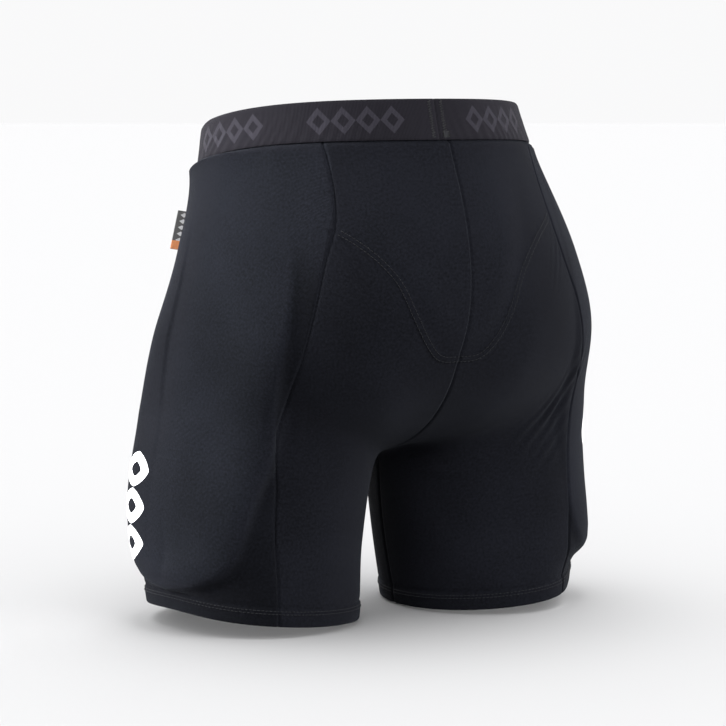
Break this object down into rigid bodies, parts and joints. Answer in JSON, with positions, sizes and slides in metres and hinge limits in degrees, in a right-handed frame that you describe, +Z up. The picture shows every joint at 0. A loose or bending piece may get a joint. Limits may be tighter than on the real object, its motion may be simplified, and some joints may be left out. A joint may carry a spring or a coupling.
{
  "type": "padded impact shorts",
  "caption": "Close-fitting impact shorts in dark stretch knit with foam hip and tailbone pads in sewn pockets under a woven elastic waistband.",
  "frame": {"origin": "middle of the bounding box seen from above, at the lowest point of the leg hems", "axes": "+Z up to the waistband, +Y to the wearer's back, +X to the wearer's left"},
  "size_m": [0.4002, 0.2704, 0.409],
  "materials": {
    "outer_knit": "matte",
    "side_rib_knit": "matte",
    "pocket_mesh": "matte",
    "waistband_jacquard": "matte",
    "elastic": "matte",
    "impact_foam": "matte",
    "print_ink": "satin",
    "woven_label": "satin",
    "care_satin": "satin"
  },
  "bodies": {
    "garment": {"left_side_panel": "side_rib_knit", "left_back_panel": "outer_knit", "left_front_panel": "outer_knit", "left_hem_elastic": "elastic", "left_hip_pocket_liner": "pocket_mesh", "left_leg_print": "print_ink", "right_side_panel": "side_rib_knit", "right_back_panel": "outer_knit", "right_front_panel": "outer_knit", "right_hem_elastic": "elastic", "right_hip_pocket_liner": "pocket_mesh", "right_leg_print": "print_ink", "front_centre_panel": "outer_knit", "waistband_elastic": "waistband_jacquard", "waistband_join_tape": "elastic", "tailbone_pocket_liner": "pocket_mesh"},
    "left_pad": {"left_hip_pad": "impact_foam"},
    "right_pad": {"right_hip_pad": "impact_foam"},
    "tail_pad": {"tailbone_pad": "impact_foam"},
    "outer_label": {"side_label": "woven_label"},
    "inner_label": {"care_label": "care_satin"}
  },
  "joints": [
    {"name": "left_hip_pad_shift", "type": "slide", "parent": "garment", "child": "left_pad", "axis": [-0.158, 0, 0.9874], "range_m": [0, 0.006]},
    {"name": "right_hip_pad_shift", "type": "slide", "parent": "garment", "child": "right_pad", "axis": [0.158, 0, 0.9874], "range_m": [0, 0.006]},
    {"name": "tailbone_pad_shift", "type": "slide", "parent": "garment", "child": "tail_pad", "axis": [0, -0.2149, 0.9766], "range_m": [0, 0.008]},
    {"name": "side_label_swing", "type": "hinge", "parent": "garment", "child": "outer_label", "pos_m": [0.1443, -0.0569, 0.29934], "axis": [0.3233, 0.2344, -0.9168], "range_deg": [-60, 60]},
    {"name": "care_label_swing", "type": "hinge", "parent": "garment", "child": "inner_label", "pos_m": [0.13934, -0.05681, 0.30539], "axis": [0.3312, 0.2346, -0.9139], "range_deg": [0, 60]}
  ]
}
